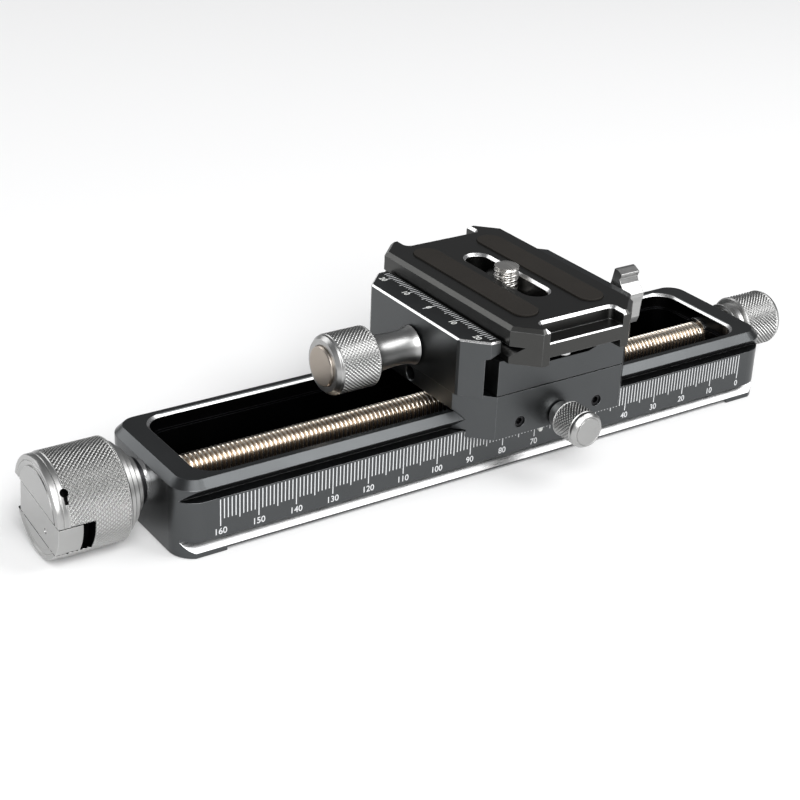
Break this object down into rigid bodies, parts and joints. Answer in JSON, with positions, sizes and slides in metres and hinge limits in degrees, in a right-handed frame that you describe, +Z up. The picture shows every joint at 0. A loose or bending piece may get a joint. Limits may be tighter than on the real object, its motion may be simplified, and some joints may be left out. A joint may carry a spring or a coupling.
{
  "type": "macro focusing rail",
  "caption": "Macro focusing rail: long body with a lead screw in a well, a sliding carriage with dovetail clamp and quick-release plate, knurled knobs, folding crank.",
  "frame": {"origin": "mouth of the tripod socket, in the middle of the underside, level with the bottom of the two feet", "axes": "+X along the rail towards the small knob and the scale's zero, the main knob is at -X, -Y out of the scale's side, +Z up"},
  "size_m": [0.2239, 0.0701, 0.0467],
  "materials": {
    "titan": "matte hard-anodised titanium grey",
    "silver": "satin clear-anodised",
    "champagne": "satin champagne-anodised",
    "nickel": "nickel-plated thread",
    "steel_bright": "bright turned stainless",
    "black_steel": "black oxide",
    "brass": "turned brass",
    "rubber": "matte moulded",
    "nylon": "matte black",
    "ivory": "matte white"
  },
  "bodies": {
    "rail": {"rail_base": "titan", "tripod_insert": "steel_bright", "left_bearing_bush": "steel_bright", "right_bearing_bush": "steel_bright"},
    "spindle": {"lead_screw": "nickel", "thrust_washer": "black_steel", "main_knob": "silver", "main_knob_set_screw": "black_steel", "crank_hinge_pin": "steel_bright", "right_knob": "silver"},
    "crank": {"crank_arm": "silver", "crank_index_pin": "steel_bright"},
    "carriage": {"carriage": "titan", "index_pointer": "ivory", "gib_strip": "brass", "gib_screw_left": "black_steel", "gib_screw_right": "black_steel", "clamp_base": "titan", "fixing_screw_left_front": "black_steel", "fixing_screw_left_rear": "black_steel", "fixing_screw_right_front": "black_steel", "fixing_screw_right_rear": "black_steel"},
    "lock": {"lock_stem": "steel_bright", "lock_knob": "silver"},
    "half_nut": {"half_nut": "brass"},
    "lever": {"release_shaft": "steel_bright", "release_lever": "silver"},
    "jaw": {"clamp_jaw": "titan", "guide_pin_front": "steel_bright", "guide_pin_rear": "steel_bright"},
    "clamp_knob": {"clamp_screw": "steel_bright", "clamp_knob": "silver", "clamp_knob_cap": "champagne"},
    "plate": {"quick_release_plate": "titan", "rubber_strip_left": "rubber", "rubber_strip_right": "rubber", "plate_stop_front": "steel_bright", "plate_stop_rear": "steel_bright"},
    "slider": {"screw_slider": "nylon"},
    "camera_screw": {"camera_screw": "steel_bright"}
  },
  "joints": [
    {"name": "spindle_turn", "type": "hinge", "parent": "rail", "child": "spindle", "pos_m": [0, 0, 0.0126], "axis": [1, 0, 0], "range_deg": [-13252, 13830]},
    {"name": "carriage_slide", "type": "slide", "parent": "rail", "child": "carriage", "axis": [1, 0, 0], "range_m": [-0.046, 0.048]},
    {"name": "crank_fold", "type": "hinge", "parent": "spindle", "child": "crank", "pos_m": [-0.1147, 0.00843, 0.01371], "axis": [0, 0.1305, -0.9914], "range_deg": [0, 180]},
    {"name": "lock_turn", "type": "hinge", "parent": "carriage", "child": "lock", "pos_m": [0.0127, -0.03, 0.0157], "axis": [0, -1, 0], "range_deg": [0, 180]},
    {"name": "lever_turn", "type": "hinge", "parent": "carriage", "child": "lever", "pos_m": [0.0127, -0.0116, 0.0308], "axis": [1, 0, 0], "range_deg": [0, 70]},
    {"name": "nut_lift", "type": "slide", "parent": "carriage", "child": "half_nut", "axis": [0, 0, 1], "range_m": [0, 0.0012]},
    {"name": "jaw_slide", "type": "slide", "parent": "carriage", "child": "jaw", "axis": [-1, 0, 0], "range_m": [0, 0.006]},
    {"name": "clamp_turn", "type": "hinge", "parent": "jaw", "child": "clamp_knob", "pos_m": [0, 0, 0.0306], "axis": [-1, 0, 0], "range_deg": [0, 2161]},
    {"name": "plate_slide", "type": "slide", "parent": "carriage", "child": "plate", "axis": [0, 1, 0], "range_m": [-0.03, 0.03]},
    {"name": "screw_slide", "type": "slide", "parent": "plate", "child": "slider", "axis": [0, 1, 0], "range_m": [-0.0115, 0.0115]},
    {"name": "camera_screw_turn", "type": "hinge", "parent": "slider", "child": "camera_screw", "pos_m": [0.0127, 0, 0.04], "axis": [0, 0, 1], "continuous": true}
  ],
  "couplings": [
    {"joint": "spindle_turn", "follows": "carriage_slide", "rad_per_m": 5026.5},
    {"joint": "lever_turn", "follows": "nut_lift", "rad_per_m": 1018.8},
    {"joint": "clamp_turn", "follows": "jaw_slide", "rad_per_m": 6283.2}
  ]
}
